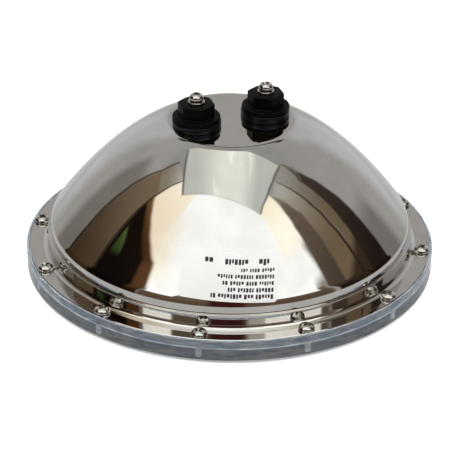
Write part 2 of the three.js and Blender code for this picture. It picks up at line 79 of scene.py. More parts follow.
def make_camera():
    """The camera looks at the label's side of the lamp, a little above the lens."""
    elevation = CAMERA["elevation"]
    back = Vector((
        math.cos(LABEL_AZIMUTH) * math.cos(elevation),
        math.sin(LABEL_AZIMUTH) * math.cos(elevation),
        math.sin(elevation),
    ))
    right = Vector((-math.sin(LABEL_AZIMUTH), math.cos(LABEL_AZIMUTH), 0))
    place = back * CAMERA["distance"]
    target = right * -CAMERA_AIM["left"] + Vector((0, 0, CAMERA_AIM["up"]))
    view = (target - place).normalized()
    right = view.cross(Vector((0, 0, 1))).normalized()
    up = right.cross(view)
    cosine, sine = math.cos(CAMERA["roll"]), math.sin(CAMERA["roll"])
    across = right * cosine + up * sine
    upward = up * cosine - right * sine
    data = bpy.data.cameras.new("camera")
    data.lens = CAMERA["lens"]
    camera = bpy.data.objects.new("camera", data)
    bpy.context.scene.collection.objects.link(camera)
    turn = Matrix((across, upward, -view)).transposed()
    camera.matrix_world = Matrix.Translation(place * MM) @ turn.to_4x4()
    bpy.context.scene.camera = camera


make_camera()

# ---- shader nodes ---------------------------------------------------------------------------------


class Graph:
    """Short calls for building a node tree."""

    def __init__(self, tree):
        self.tree = tree
        tree.nodes.clear()

    def add(self, kind, **settings):
        node = self.tree.nodes.new(kind)
        for name, value in settings.items():
            setattr(node, name, value)
        return node

    def feed(self, socket, value):
        """Links a socket to an output, or sets its value."""
        if isinstance(value, bpy.types.NodeSocket):
            self.tree.links.new(value, socket)
        else:
            socket.default_value = value

    def math(self, operation, *values):
        node = self.add("ShaderNodeMath", operation=operation)
        for socket, value in zip(node.inputs, values):
            self.feed(socket, value)
        return node.outputs[0]

    def step(self, value, start, end, low=0.0, high=1.0):
        """A smooth rise from low to high as value goes from start to end."""
        node = self.add("ShaderNodeMapRange", interpolation_type="SMOOTHSTEP")
        for socket, setting in zip(node.inputs, (value, start, end, low, high)):
            self.feed(socket, setting)
        return node.outputs[0]

    def mix(self, factor, first, second):
        node = self.add("ShaderNodeMix", data_type="RGBA")
        self.feed(node.inputs[0], factor)
        for socket, value in ((node.inputs[6], first), (node.inputs[7], second)):
            self.feed(socket, value if isinstance(value, bpy.types.NodeSocket) else (*value[:3], 1))
        return node.outputs[2]

    def noise(self, vector, scale, detail=3.0, roughness=0.55, w=None):
        node = self.add("ShaderNodeTexNoise", noise_dimensions="3D" if w is None else "4D")
        self.feed(node.inputs["Vector"], vector)
        self.feed(node.inputs["Scale"], scale)
        self.feed(node.inputs["Detail"], detail)
        self.feed(node.inputs["Roughness"], roughness)
        if w is not None:
            self.feed(node.inputs["W"], w)
        return node.outputs["Fac"]

    def bump(self, height, distance, strength=1.0, normal=None):
        node = self.add("ShaderNodeBump")
        self.feed(node.inputs["Strength"], strength)
        self.feed(node.inputs["Distance"], distance)
        self.feed(node.inputs["Height"], height)
        if normal is not None:
            self.feed(node.inputs["Normal"], normal)
        return node.outputs[0]

    def place(self):
        return self.add("ShaderNodeTexCoord").outputs["Object"]

    def combine(self, x, y, z):
        node = self.add("ShaderNodeCombineXYZ")
        for socket, value in zip(node.inputs, (x, y, z)):
            self.feed(socket, value)
        return node.outputs[0]


def shade(value, factor):
    return tuple(min(1.0, part * factor) for part in value)


def new_material(name):
    material = bpy.data.materials.new(name)
    material.use_nodes = True
    graph = Graph(material.node_tree)
    surface = graph.add("ShaderNodeBsdfPrincipled")
    output = graph.add("ShaderNodeOutputMaterial")
    graph.feed(output.inputs[0], surface.outputs[0])
    return material, graph, surface


def moulded(name, colour, roughness, metallic=0.0, grain=900.0, mottle=0.12, relief=0.00001, wear=0.0,
            **sockets):
    """A plain solid's finish: blotches of colour, uneven gloss, fine relief and rubbed edges."""
    material, graph, surface = new_material(name)
    place = graph.place()
    broad = graph.noise(place, grain * 0.12, 2.0)
    fine = graph.noise(place, grain, 4.0)
    tone = graph.mix(graph.step(broad, 0.3, 0.7), shade(colour, 1 - mottle), shade(colour, 1 + mottle))
    if wear:
        edge = graph.step(graph.add("ShaderNodeNewGeometry").outputs["Pointiness"], 0.52, 0.60)
        rubbed = graph.math("MULTIPLY", edge, graph.step(fine, 0.35, 0.65, 0.0, wear))
        tone = graph.mix(rubbed, tone, shade(tuple(c + 0.12 for c in colour), 1.4))
    graph.feed(surface.inputs["Base Color"], tone)
    graph.feed(surface.inputs["Roughness"], graph.step(broad, 0.25, 0.75, roughness * 0.85, roughness * 1.2))
    graph.feed(surface.inputs["Normal"], graph.bump(fine, relief))
    surface.inputs["Metallic"].default_value = metallic
    for socket, value in sockets.items():
        surface.inputs[socket.replace("_", " ")].default_value = value
    return material


def ring_noise(graph, around, across, detail=2.0):
    """Noise drawn out along circles about the lamp's axis, as a lathe's or a polishing wheel's marks are."""
    part = graph.add("ShaderNodeSeparateXYZ")
    graph.feed(part.inputs[0], graph.place())
    x, y, z = part.outputs
    radius = graph.math("SQRT", graph.math("ADD", graph.math("MULTIPLY", x, x), graph.math("MULTIPLY", y, y)))
    unit_x = graph.math("DIVIDE", x, radius)
    unit_y = graph.math("DIVIDE", y, radius)
    scales = ((unit_x, around), (unit_y, around), (z, across))
    stretched = [graph.math("MULTIPLY", value, scale) for value, scale in scales]
    return graph.noise(graph.combine(*stretched), 1.0, detail, w=graph.math("MULTIPLY", radius, across))


STEEL = (0.61, 0.585, 0.555)


def polished_steel(name, roughness=0.03, swirl=0.0000004, ripple=0.00006):
    """Spun stainless steel, mirror polished: faint wheel marks, a slow ripple and cloudy wipe marks."""
    material, graph, surface = new_material(name)
    marks = ring_noise(graph, 9.0, 5200.0, 4.0)
    waves = ring_noise(graph, 2.2, 90.0, 1.0)
    haze = graph.noise(graph.place(), 55.0, 5.0, 0.6)
    specks = graph.noise(graph.place(), 2400.0, 2.0)
    tone = graph.mix(graph.step(haze, 0.35, 0.7), shade(STEEL, 0.94), shade(STEEL, 1.05))
    spotted = graph.mix(graph.step(specks, 0.66, 0.78, 0.0, 0.25), tone, shade(STEEL, 0.75))
    graph.feed(surface.inputs["Base Color"], spotted)
    streak = graph.step(marks, 0.3, 0.75, 0.0, 0.02)
    cloud = graph.step(haze, 0.4, 0.8, roughness, roughness * 1.8)
    graph.feed(surface.inputs["Roughness"], graph.math("ADD", cloud, streak))
    slow = graph.bump(waves, ripple)
    graph.feed(surface.inputs["Normal"], graph.bump(marks, swirl, 1.0, slow))
    surface.inputs["Metallic"].default_value = 1.0
    return material


def screw_steel():
    """Nickel-bright screws with small forging marks, and painted shade that darkens their hollows, such as
    the cross recess.
    """
    material, graph, surface = new_material("bright_screw_steel")
    place = graph.place()
    dents = graph.noise(place, 1500.0, 3.0)
    # painted shade: hollows, found by low pointiness, are mixed towards a near black brown
    low = graph.step(graph.add("ShaderNodeNewGeometry").outputs["Pointiness"], 0.40, 0.49, 0.75, 0.0)
    tone = graph.mix(graph.step(dents, 0.35, 0.7), (0.52, 0.505, 0.475), (0.62, 0.60, 0.57))
    graph.feed(surface.inputs["Base Color"], graph.mix(low, tone, (0.10, 0.09, 0.08)))
    graph.feed(surface.inputs["Roughness"], graph.step(dents, 0.3, 0.7, 0.07, 0.14))
    graph.feed(surface.inputs["Normal"], graph.bump(dents, 0.000012))
    surface.inputs["Metallic"].default_value = 1.0
    return material


def clear_pane():
    """The clear window in front of the LEDs, with a faint moulding ripple and fine wipe scratches."""
    material, graph, surface = new_material("clear_pane")
    place = graph.place()
    ripple = graph.noise(place, 40.0, 2.0)
    scuffs = ring_noise(graph, 30.0, 900.0, 5.0)
    tone = graph.mix(graph.step(ripple, 0.3, 0.7), (0.93, 0.96, 0.98), (0.97, 0.98, 0.99))
    graph.feed(surface.inputs["Base Color"], tone)
    graph.feed(surface.inputs["Roughness"], graph.step(scuffs, 0.45, 0.8, 0.01, 0.06))
    graph.feed(surface.inputs["Normal"], graph.bump(ripple, 0.00003))
    surface.inputs["Transmission Weight"].default_value = 1.0
    surface.inputs["IOR"].default_value = 1.58
    return material


# The rim's lowest band is painted pale and made mostly diffuse, a painted reflection of the white floor seen
# through the rounded lower edge. foot and fade give the height and softness of its upper edge; the two other
# values are the transmission above the band and in it.
RIM_FLOOR_GLOW = {"foot": 0.0013, "fade": 0.00025, "clear": 0.80, "frosted": 0.2}


def wavy_rim():
    """The rim's clear plastic seen edge on: bluish flow lines run round it, and its lower edge carries a
    painted pale band, a painted reflection of the white floor that the rounded edge refracts.
    """
    material, graph, surface = new_material("clear_rim")
    flow = ring_noise(graph, 15.0, 900.0, 3.0)
    fine = ring_noise(graph, 46.0, 2100.0, 2.0)
    part = graph.add("ShaderNodeSeparateXYZ")
    graph.feed(part.inputs[0], graph.place())
    foot, fade = RIM_FLOOR_GLOW["foot"], RIM_FLOOR_GLOW["fade"]
    # painted reflection: 1 in the painted pale band along the lower edge, 0 above it
    floor_glow = graph.step(part.outputs[2], foot + fade, foot - fade)
    tone = graph.mix(graph.step(flow, 0.42, 0.58), (0.48, 0.56, 0.70), (0.90, 0.96, 1.0))
    graph.feed(surface.inputs["Base Color"], graph.mix(floor_glow, tone, (0.92, 0.93, 0.94)))
    graph.feed(surface.inputs["Roughness"], graph.step(fine, 0.3, 0.7, 0.02, 0.07))
    graph.feed(surface.inputs["Normal"], graph.bump(fine, 0.000006, 1.0, graph.bump(flow, 0.00008)))
    graph.feed(surface.inputs["Transmission Weight"],
               graph.step(floor_glow, 0.0, 1.0, RIM_FLOOR_GLOW["clear"], RIM_FLOOR_GLOW["frosted"]))
    surface.inputs["IOR"].default_value = 1.58
    return material


MAT = {
    "shell": polished_steel("polished_shell_steel"),
    "screw": screw_steel(),
    "thread": moulded("rolled_thread", (1.0, 0.97, 0.92), 0.6, mottle=0.04, grain=1800, relief=0.00001),
    "pane": clear_pane(),
    "rim": wavy_rim(),
    "silicone": moulded("silicone_gasket", (0.04, 0.05, 0.07), 0.6, grain=700, relief=0.00003),
    "black": moulded("black_nylon", (0.0015, 0.0015, 0.0017), 0.5, grain=1600, mottle=0.3, relief=0.000012,
                     wear=0.05, Specular_IOR_Level=0.07),
    "rubber": moulded("seal_rubber", (0.0022, 0.0022, 0.0032), 0.3, grain=2200, mottle=0.2, relief=0.00001,
                      Specular_IOR_Level=0.32, Specular_Tint=(0.82, 0.78, 1.0, 1.0)),
    "brass": moulded("turned_brass", (0.56, 0.40, 0.16), 0.28, metallic=1.0, grain=1800, relief=0.000006),
    "tinned": moulded("tinned_copper", (0.62, 0.61, 0.58), 0.32, metallic=1.0, grain=1500, relief=0.00001),
    "film": moulded("label_film", (0.86, 0.86, 0.85), 0.38, grain=500, mottle=0.03, relief=0.000008),
    "ink": moulded("label_ink", (0.016, 0.016, 0.018), 0.5, grain=2600, mottle=0.5, relief=0.000004),
    "mask": moulded("white_solder_mask", (0.78, 0.79, 0.76), 0.42, grain=1400, mottle=0.05, relief=0.000008),
    "phosphor": moulded("led_silicone", (0.86, 0.80, 0.52), 0.18, grain=2200, mottle=0.08, relief=0.000006),
    "pad": moulded("thermal_pad", (0.33, 0.36, 0.41), 0.75, grain=1500, relief=0.00003),
    "plate": moulded("rolled_aluminium", (0.62, 0.62, 0.63), 0.36, metallic=1.0, grain=900, relief=0.00001),
    "circuit": moulded("green_circuit_board", (0.020, 0.14, 0.055), 0.34, grain=1300, mottle=0.25,
                       relief=0.00002),
    "sleeve": moulded("capacitor_sleeve", (0.018, 0.030, 0.055), 0.30, grain=1200, mottle=0.2,
                      relief=0.00001, wear=0.3),
    "ferrite": moulded("ferrite", (0.030, 0.030, 0.032), 0.62, grain=1900, mottle=0.3, relief=0.00003,
                       wear=0.2),
    "epoxy": moulded("chip_epoxy", (0.012, 0.012, 0.013), 0.55, grain=2600, mottle=0.3, relief=0.00001,
                     wear=0.2),
    "wire_black": moulded("wire_black", (0.010, 0.010, 0.011), 0.35, grain=1500, mottle=0.3),
    "wire_red": moulded("wire_red", (0.36, 0.016, 0.012), 0.35, grain=1500),
    "wire_green": moulded("wire_green", (0.016, 0.20, 0.045), 0.35, grain=1500),
    "wire_blue": moulded("wire_blue", (0.016, 0.07, 0.36), 0.35, grain=1500),
}

# ---- meshes ---------------------------------------------------------------------------------------


def make_object(name, points, faces, materials, face_material=None, sharp=28):
    """A mesh object from points in millimetres. face_material picks a material's index for a face."""
    mesh = bpy.data.meshes.new(name)
    mesh.from_pydata([tuple(part * MM for part in point) for point in points], [], faces)
    for material in materials:
        mesh.materials.append(material)
    if face_material:
        for polygon in mesh.polygons:
            polygon.material_index = face_material(polygon.center / MM)
    mesh.polygons.foreach_set("use_smooth", [True] * len(mesh.polygons))
    mesh.set_sharp_from_angle(angle=math.radians(sharp))
    mesh.update()
    thing = bpy.data.objects.new(name, mesh)
    bpy.context.scene.collection.objects.link(thing)
    return thing


def at(value, angle):
    return value(angle) if callable(value) else value


def lofted(rows, segments, closed=False):
    """Points and faces of a surface through rings about Z. A row is (radius, z), and either may be a
    function of the angle. An open loft is capped at both ends. A closed one joins its last row to
    its first."""
    angles = [2 * math.pi * i / segments for i in range(segments)]
    points = []
    for radius, z in rows:
        points += [(at(radius, a) * math.cos(a), at(radius, a) * math.sin(a), at(z, a)) for a in angles]
    faces = []
    pairs = len(rows) if closed else len(rows) - 1
    for row in range(pairs):
        first, second = row * segments, (row + 1) % len(rows) * segments
        for i in range(segments):
            j = (i + 1) % segments
            faces.append((first + i, first + j, second + j, second + i))
    if not closed:
        for row, order in ((0, -1), (len(rows) - 1, 1)):
            centre = len(points)
            points.append((0, 0, sum(at(rows[row][1], a) for a in angles) / segments))
            for i in range(segments):
                edge = (row * segments + i, row * segments + (i + 1) % segments)
                faces.append((centre, *edge[::order]))
    return points, faces


LONG_RUN = 1.2
REACH = 0.03


def supported(profile):
    """The profile with a point close to each end of its long straight runs, which keeps them truly flat."""
    points = []
    for here, there in zip(profile, profile[1:] + profile[:1]):
        points.append(here)
        run = math.dist(here, there)
        if run > LONG_RUN:
            for share in (REACH / run, 1 - REACH / run):
                points.append(tuple(a + (b - a) * share for a, b in zip(here, there)))
    return points


def arc(centre, radius, start, end, steps):
    """Profile points on an arc, with its angles in degrees from the outward direction."""
    turns = [math.radians(start + (end - start) * i / steps) for i in range(steps + 1)]
    return [(centre[0] + radius * math.cos(t), centre[1] + radius * math.sin(t)) for t in turns]


def cut(thing, tools):
    """Cuts the tools out of a thing, and removes them."""
    for tool in tools:
        modifier = thing.modifiers.new("cut", "BOOLEAN")
        modifier.operation = "DIFFERENCE"
        modifier.solver = "EXACT"
        modifier.object = tool
    bpy.context.view_layer.update()
    finished = bpy.data.meshes.new_from_object(thing.evaluated_get(bpy.context.evaluated_depsgraph_get()))
    thing.modifiers.clear()
    thing.data = finished
    for tool in tools:
        bpy.data.objects.remove(tool)
    finished.set_sharp_from_angle(angle=math.radians(28))
    return thing


def fit_piece(piece, nodes, body=LAMP):
    """The piece rides on its body and stands for its CAD nodes, which it hides."""
    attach(piece, body)
    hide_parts(*nodes)
    return piece


def drill_row(name, radius, low, high, places, material, segments=24):
    """One cutting tool with a round rod at each place."""
    rod_points, rod_faces = lofted([(radius, low), (radius, high)], segments)
    points, faces = [], []
    for x, y in places:
        start = len(points)
        points += [(px + x, py + y, pz) for px, py, pz in rod_points]
        faces += [tuple(start + i for i in face) for face in rod_faces]
    return make_object(name, points, faces, [material])


LENS_SEGMENTS = 240
SHELL_SEGMENTS = 324
CLAMP_PLACES = [tuple(node_centre(name)[:2]) for name in names_with("clamp_screw")]
TERMINALS = {side: node_centre(f"terminal_seal_{side}") for side in ("left", "right")}

# ---- front lens -----------------------------------------------------------------------------------

LENS = {"pane": 3.6, "pane_radius": 78.4, "seat": 6.0, "rim_inner": 87.5, "edge": 1.2}
CLAMP_BORE = 1.1
FACE_SKIN = 0.05


def front_lens():
    radius = LENS_HIGH.x
    top = LENS_HIGH.z
    edge, small = LENS["edge"], 0.35
    rows = [(0.001, LENS["pane"]), (0.001, 0), (40, 0), (radius - edge, 0)]
    rows += arc((radius - edge, edge), edge, -80, 0, 8)
    rows += arc((radius - small, top - small), small, 0, 90, 4)
    rows += arc((LENS["rim_inner"] + small, top - small), small, 90, 180, 4)
    rows += [(LENS["rim_inner"], LENS["seat"] + 0.06), (LENS["rim_inner"] - 0.06, LENS["seat"])]
    rows += [(LENS["pane_radius"] + 0.3, LENS["seat"]), (LENS["pane_radius"], LENS["seat"] - 0.3)]
    rows += [(LENS["pane_radius"], LENS["pane"] + 0.3), (LENS["pane_radius"] - 0.3, LENS["pane"])]
    points, faces = lofted(supported(rows), LENS_SEGMENTS, closed=True)
    rim_from = LENS["pane_radius"] - 1

    def at_rim(centre):
        return math.hypot(centre.x, centre.y) > rim_from and centre.z > FACE_SKIN

    lens = make_object("lens_fine", points, faces, [MAT["pane"], MAT["rim"]], at_rim)
    screw_tip = node_box("clamp_screw_01")[0].z
    bores = drill_row("clamp_bores", CLAMP_BORE, screw_tip + 0.3, LENS["seat"] + 2, CLAMP_PLACES, MAT["rim"])
    return fit_piece(cut(lens, [bores]), ["front_lens"])


front_lens()


# ---- rear shell -----------------------------------------------------------------------------------

SHELL = {
    "sheet": 0.8, "wall": 79.1, "foot_arc": 2.3, "lip": 16.5, "lip_arc": 0.35,
    "body": 78.0, "shoulder_arc": 7.0, "shoulder_start": 76.64,
    "apex": 70.33, "apex_offset": 6.84, "curvature": 0.00978, "crease_end": 28.6, "flat": 25.3,
    "terminal_hole": 5.2, "clamp_hole": 1.75,
}
DOME_ROWS = 80
ARC_ROWS = 10


def dome_height(r):
    return SHELL["apex"] - SHELL["curvature"] * (r - SHELL["apex_offset"]) ** 2


def dome_slope(r):
    return math.atan(2 * SHELL["curvature"] * (r - SHELL["apex_offset"]))


def dome_point(distance):
    """A point (radius, z, slope) on the dome's outer face at a distance along it from the shoulder's foot."""
    arc_radius = SHELL["shoulder_arc"]
    start = dome_slope(SHELL["shoulder_start"])
    centre_r = SHELL["body"] - arc_radius
    centre_z = dome_height(SHELL["shoulder_start"]) - arc_radius * math.cos(start)
    shoulder = arc_radius * (math.pi / 2 - start)
    if distance <= shoulder:
        slope = math.pi / 2 - distance / arc_radius
        return centre_r + arc_radius * math.sin(slope), centre_z + arc_radius * math.cos(slope), slope
    r = SHELL["shoulder_start"]
    left = distance - shoulder
    step = 0.05
    while left > 0:
        stride = min(step, left)
        r -= stride * math.cos(dome_slope(r))
        left -= stride
    return r, dome_height(r), dome_slope(r)


def dome_rows():
    """The dome's outer face from its foot to the flat, as (radius, z, slope)."""
    rows = []
    shoulder = SHELL["shoulder_arc"] * (math.pi / 2 - dome_slope(SHELL["shoulder_start"]))
    rows += [dome_point(shoulder * i / ARC_ROWS) for i in range(ARC_ROWS + 1)]
    start, end = SHELL["shoulder_start"], SHELL["crease_end"]
    for i in range(1, DOME_ROWS + 1):
        r = start + (end - start) * i / DOME_ROWS
        rows.append((r, dome_height(r), dome_slope(r)))
    slope = dome_slope(end)
    crease = (end - SHELL["flat"]) / math.sin(slope)
    for i in range(1, ARC_ROWS + 1):
        turn = slope * (1 - i / ARC_ROWS)
        drop = crease * (1 - math.cos(turn))
        rows.append((SHELL["flat"] + crease * math.sin(turn), SHELL_HIGH.z - drop, turn))
    return rows


def rear_shell():
    low, flange = SHELL_LOW.z, SHELL_HIGH.x
    sheet, wall, foot, lip = SHELL["sheet"], SHELL["wall"], SHELL["foot_arc"], SHELL["lip_arc"]
    top = low + sheet
    foot_centre = (wall + foot, top + foot)
    lip_top = SHELL["lip"]
    dome = dome_rows()
    profile = [(flange - 0.2, low), (flange, low + 0.2), (flange, top - 0.2), (flange - 0.2, top)]
    profile += arc(foot_centre, foot, 270, 180, 14)
    profile += arc((wall - lip, lip_top - lip), lip, 0, 90, 8)
    profile += arc((SHELL["body"] + 0.15, lip_top + 0.15), 0.15, 270, 180, 4)
    profile += [(r, z) for r, z, slope in dome]
    profile += [(0.001, SHELL_HIGH.z), (0.001, SHELL_HIGH.z - sheet)]
    profile += [(r - sheet * math.sin(slope), z - sheet * math.cos(slope)) for r, z, slope in reversed(dome)]
    profile += [(SHELL["body"] - sheet, lip_top - sheet), (wall - sheet, lip_top - sheet)]
    profile += arc(foot_centre, foot + sheet, 180, 270, 8)
    places = [tuple(TERMINALS[side][:2]) for side in TERMINALS]
    wide, narrow = SHELL["terminal_hole"], SHELL["clamp_hole"]
    holes = [
        drill_row("terminal_holes", wide, SHELL_HIGH.z - 3, SHELL_HIGH.z + 3, places, MAT["shell"], 48),
        drill_row("flange_holes", narrow, low - 1, top + 0.4, CLAMP_PLACES, MAT["shell"]),
    ]
    points, faces = lofted(supported(profile), SHELL_SEGMENTS, closed=True)
    shell = cut(make_object("rear_shell_fine", points, faces, [MAT["shell"]]), holes)
    fit_piece(shell, ["rear_shell"])


rear_shell()

# ---- screws ---------------------------------------------------------------------------------------

# The cross recess of a head of this radius: its arms' reach and half width at the top and at the floor, its
# depth, and how far the corners between the arms stand out.
CROSS = {"head": 3.1, "top": (2.0, 0.50), "floor": (0.85, 0.34), "depth": 1.6, "root": 1.25}


def cross_tool(name, head_radius, head_top):
    """A tapered cross, for the recess of a cross-head screw."""
    scale = head_radius / CROSS["head"]
    layers = [(CROSS["floor"], head_top - CROSS["depth"] * scale), (CROSS["top"], head_top + 0.4)]
    points = []
    for (reach, half), z in layers:
        reach, half = reach * scale, half * scale
        for quarter in range(4):
            turn = Matrix.Rotation(quarter * math.pi / 2, 2)
            inner = half * CROSS["root"]
            corners = ((reach, -half), (reach, half), (inner, inner))
            points += [(*(turn @ Vector(corner)), z) for corner in corners]
    faces = [tuple(range(11, -1, -1)), tuple(range(12, 24))]
    faces += [(i, (i + 1) % 12, 12 + (i + 1) % 12, 12 + i) for i in range(12)]
    return make_object(name, points, faces, [MAT["screw"]])


def thread_radius(outer, pitch, depth, z):
    """Radius of a right-hand thread at height z, as a function of the angle."""
    def radius(angle):
        phase = (z / pitch - angle / (2 * math.pi)) % 1.0
        return outer - depth * (1 - 2 * abs(phase - 0.5)) ** 0.8
    return radius


def screw_mesh(name, head_radius, head_height, shank, length, pitch, segments=36):
    """A pan-head screw with a rolled thread. The head's underside is z = 0."""
    rows = [(shank * 0.55, -length), (shank * 0.8, -length + 0.25)]
    depth = pitch * 0.5
    z = -length + 0.35
    while z < -0.45:
        rows.append((thread_radius(shank, pitch, depth, z), z))
        z += pitch / 6
    rows += [(shank - depth * 0.4, -0.3), (shank, 0.0), (head_radius - 0.15, 0.0)]
    rows += arc((head_radius - 0.18, 0.18), 0.18, -60, 0, 3)
    brim = head_height * 0.16
    for i in range(1, 13):
        turn = math.pi / 2 * i / 12.5
        rows.append((head_radius * math.cos(turn) ** 0.72, brim + (head_height - brim) * math.sin(turn)))
    points, faces = lofted(rows, segments)

    def threaded(centre):
        return centre.z < -FACE_SKIN

    screw = make_object(name, points, faces, [MAT["screw"], MAT["thread"]], threaded, sharp=40)
    return cut(screw, [cross_tool(name + "_cross", head_radius, head_height)])


SCREWS = {
    "clamp_screw": {"head": 3.4, "height": 2.4, "shank": 1.45, "pitch": 0.5},
    "plate_screw": {"head": 2.6, "height": 1.9, "shank": 1.2, "pitch": 0.45},
    "driver_screw": {"head": 2.6, "height": 1.9, "shank": 1.2, "pitch": 0.45},
    "terminal_screw": {"head": 3.1, "height": 2.4, "shank": 1.5, "pitch": 0.6},
}


def add_screws():
    dice = random.Random(7)
    for prefix, size in SCREWS.items():
        nodes = names_with(prefix)
        low, high = node_box(nodes[0])
        length = high.z - low.z - size["height"]
        pattern = screw_mesh(prefix + "_fine", size["head"], size["height"], size["shank"], length,
                             size["pitch"])
        for node in nodes:
            low, high = node_box(node)
            centre = (low + high) / 2
            screw = bpy.data.objects.new(node + "_fine", pattern.data.copy())
            bpy.context.scene.collection.objects.link(screw)
            screw.data.transform(Matrix.Rotation(dice.uniform(0, math.pi / 2), 4, "Z"))
            screw.location = Vector((centre.x, centre.y, high.z - size["height"])) * MM
            body = node.replace("terminal_", "") if prefix == "terminal_screw" else LAMP
            fit_piece(screw, [node], body)
        bpy.data.objects.remove(pattern)


add_screws()

# ---- terminals ------------------------------------------------------------------------------------

TERMINAL = {"flange": 2.0, "hex_flats": 14.0, "hex_turn": 26, "barrel": 4.9, "bore": 3.2, "pitch": 1.25}


def hex_radius(flats, rounding=0.12):
    """Radius of a hexagon as a function of the angle, with its corners rounded a little."""
    apothem = flats / 2
    limit = flats / math.sqrt(3) - rounding

    def radius(angle):
        local = (angle - math.radians(TERMINAL["hex_turn"]) + 2 * math.pi) % (math.pi / 3) - math.pi / 6
        return min(apothem / math.cos(local), limit)
    return radius


def capped(limit, radius):
    return lambda angle: min(limit, radius(angle))


def terminal_body(side):
    node = f"terminal_body_{side}"
    low, high = node_box(node)
    seal_top = node_box(f"terminal_seal_{side}")[1].z
    flange_low = seal_top + 0.1
    flange_top = flange_low + TERMINAL["flange"]
    flange = high.x - node_centre(node).x
    hexagon = hex_radius(TERMINAL["hex_flats"])
    corner = TERMINAL["hex_flats"] / math.sqrt(3)
    bore, barrel = TERMINAL["bore"], TERMINAL["barrel"]
    rows = [(bore, low.z), (barrel - 0.5, low.z)]
    z = low.z + 0.5
    while z < flange_low - 0.7:
        rows.append((thread_radius(barrel, TERMINAL["pitch"], 0.6, z), z))
        z += TERMINAL["pitch"] / 6
    rows += [(barrel, flange_low - 0.3), (barrel, flange_low), (flange - 0.4, flange_low)]
    rows += arc((flange - 0.4, flange_low + 0.4), 0.4, -60, 0, 3)
    rows += arc((flange - 0.5, flange_top - 0.5), 0.5, 0, 90, 7)
    rows += [(lambda a: hexagon(a) + 0.35, flange_top), (hexagon, flange_top + 0.3)]
    rows += [(capped(corner - 0.05 * i * i, hexagon), high.z - 0.5 + 0.1 * i) for i in range(5)]
    rows += [(capped(corner - 1.2, lambda a: hexagon(a) - 0.2), high.z)]
    rows += [(bore + 0.3, high.z), (bore, high.z - 0.3)]
    points, faces = lofted(rows, 192, closed=True)
    body = make_object(f"terminal_body_fine_{side}", points, faces, [MAT["black"]], sharp=24)
    body.location = Vector((node_centre(node).x, 0, 0)) * MM
    fit_piece(body, [node])


def ring_piece(node, name, profile, material, segments=96, body=LAMP):
    """A closed profile turned about a node's own upright axis."""
    points, faces = lofted(profile, segments, closed=True)
    piece = make_object(name, points, faces, [material])
    centre = node_centre(node)
    piece.location = Vector((centre.x, centre.y, 0)) * MM
    return fit_piece(piece, [node], body)


def rounded_band(inner, outer, low, high, edge):
    """Profile of a ring whose outer corners are rounded and whose inner ones are broken."""
    profile = [(inner, low + 0.15), (inner + 0.15, low)]
    profile += arc((outer - edge, low + edge), edge, -90, 0, 6)
    profile += arc((outer - edge, high - edge), edge, 0, 90, 6)
    return profile + [(inner + 0.15, high), (inner, high - 0.15)]


def terminal_seal(side):
    node = f"terminal_seal_{side}"
    low, high = node_box(node)
    outer = (high.x - low.x) / 2
    profile = rounded_band(SHELL["terminal_hole"], outer, low.z, high.z, 0.4)
    ring_piece(node, f"terminal_seal_fine_{side}", profile, MAT["rubber"])


def terminal_washer(side):
    node = f"terminal_washer_{side}"
    low, high = node_box(node)
    outer = (high.x - low.x) / 2
    profile = rounded_band(1.8, outer, low.z, high.z, 0.2)
    ring_piece(node, f"terminal_washer_fine_{side}", profile, MAT["screw"], 64,
               f"washer_{side}")


SPRING = {"inner": 1.7, "width": 1.2, "edge": 0.15, "turn": 60, "gap": 10, "rise": 0.12}


def spring_washer(side):
    """A split ring whose two ends stand a little apart in height."""
    node = f"spring_washer_{side}"
    low, high = node_box(node)
    inner, width, edge = SPRING["inner"], SPRING["width"], SPRING["edge"]
    height = high.z - low.z - SPRING["rise"]
    section = [(0, edge), (edge, 0), (width - edge, 0), (width, edge)]
    section += [(width, height - edge), (width - edge, height), (edge, height), (0, height - edge)]
    steps, count = 48, len(section)
    points = []
    for i in range(steps + 1):
        angle = math.radians(SPRING["turn"] + SPRING["gap"] / 2 + (360 - SPRING["gap"]) * i / steps)
        lift = low.z + SPRING["rise"] * i / steps
        for out, up in section:
            radius = inner + out
            points.append((radius * math.cos(angle), radius * math.sin(angle), lift + up))
    faces = [tuple(range(count)), tuple(range(steps * count + count - 1, steps * count - 1, -1))]
    for i in range(steps):
        for k in range(count):
            a, b = i * count + k, i * count + (k + 1) % count
            faces.append((b, a, a + count, b + count))
    piece = make_object(f"spring_washer_fine_{side}", points, faces, [MAT["screw"]])
    piece.location = Vector((node_centre(f"terminal_washer_{side}").x, 0, 0)) * MM
    fit_piece(piece, [node], f"washer_{side}")


for terminal_side in TERMINALS:
    terminal_body(terminal_side)
    terminal_seal(terminal_side)
    terminal_washer(terminal_side)
    spring_washer(terminal_side)

# ---- rating label ---------------------------------------------------------------------------------

LABEL = {"width": 40.0, "height": 20.6, "foot": 3.5, "corner": 1.4, "lift": 0.1, "film": 0.12, "ink": 0.02,
         "turn": math.radians(-2.7)}


def on_dome(across, up, lift):
    """A point over the dome's label place: millimetres to the right of its middle and up from its foot."""
    offset = Vector((across, up - LABEL["height"] / 2))
    offset.rotate(Matrix.Rotation(LABEL["turn"], 2))
    r, z, slope = dome_point(LABEL["foot"] + LABEL["height"] / 2 + offset.y)
    angle = LABEL_AZIMUTH + offset.x / r
    out = r + lift * math.sin(slope)
    return out * math.cos(angle), out * math.sin(angle), z + lift * math.cos(slope)


